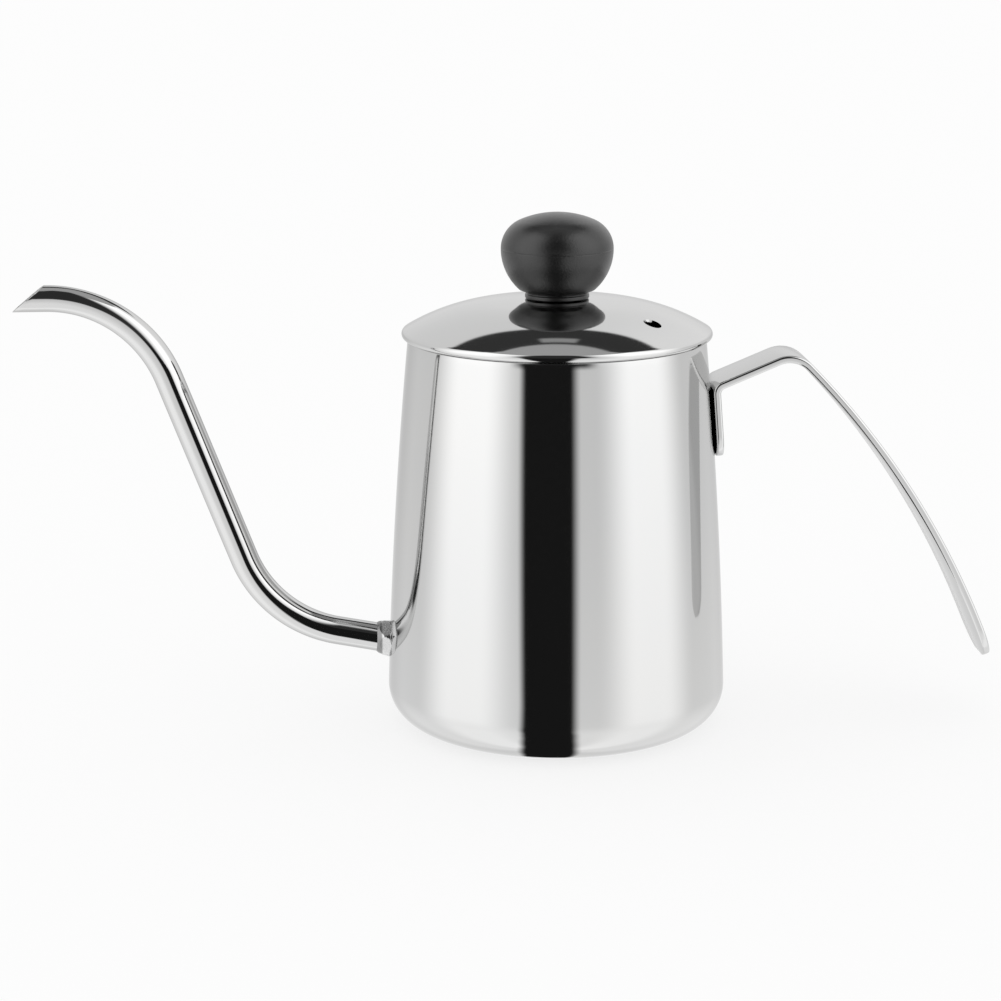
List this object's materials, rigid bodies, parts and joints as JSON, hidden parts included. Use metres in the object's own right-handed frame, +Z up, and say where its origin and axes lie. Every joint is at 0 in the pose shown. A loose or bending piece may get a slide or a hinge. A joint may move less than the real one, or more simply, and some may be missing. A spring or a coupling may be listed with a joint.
{
  "type": "gooseneck kettle",
  "caption": "Polished steel pour-over kettle with a tapered pot, thin swan-neck spout, open bent-strip handle and a lift-off domed lid with a black ball knob.",
  "frame": {"origin": "centre of the ring that the pot stands on", "axes": "+Z up along the pot's axis, -X along the spout, +X along the handle"},
  "size_m": [0.2582, 0.09, 0.1365],
  "materials": {
    "polished_steel": "polished",
    "weld_steel": "satin",
    "black_plastic": "matte",
    "brass": "satin",
    "fastener_steel": "satin"
  },
  "bodies": {
    "kettle": {"body_shell": "polished_steel", "spout_tube": "polished_steel", "spout_weld_bead": "weld_steel", "handle_strap": "polished_steel", "handle_spot_welds": "weld_steel"},
    "lid": {"lid_dome": "polished_steel", "lid_skirt": "polished_steel", "lid_skirt_spot_welds": "weld_steel", "lid_knob": "black_plastic", "knob_insert": "brass", "knob_screw": "fastener_steel", "knob_flat_washer": "fastener_steel", "knob_spring_washer": "fastener_steel"}
  },
  "joints": [
    {"name": "lid_lift", "type": "slide", "parent": "kettle", "child": "lid", "axis": [0, 0, 1], "range_m": [0, 0.06]}
  ]
}
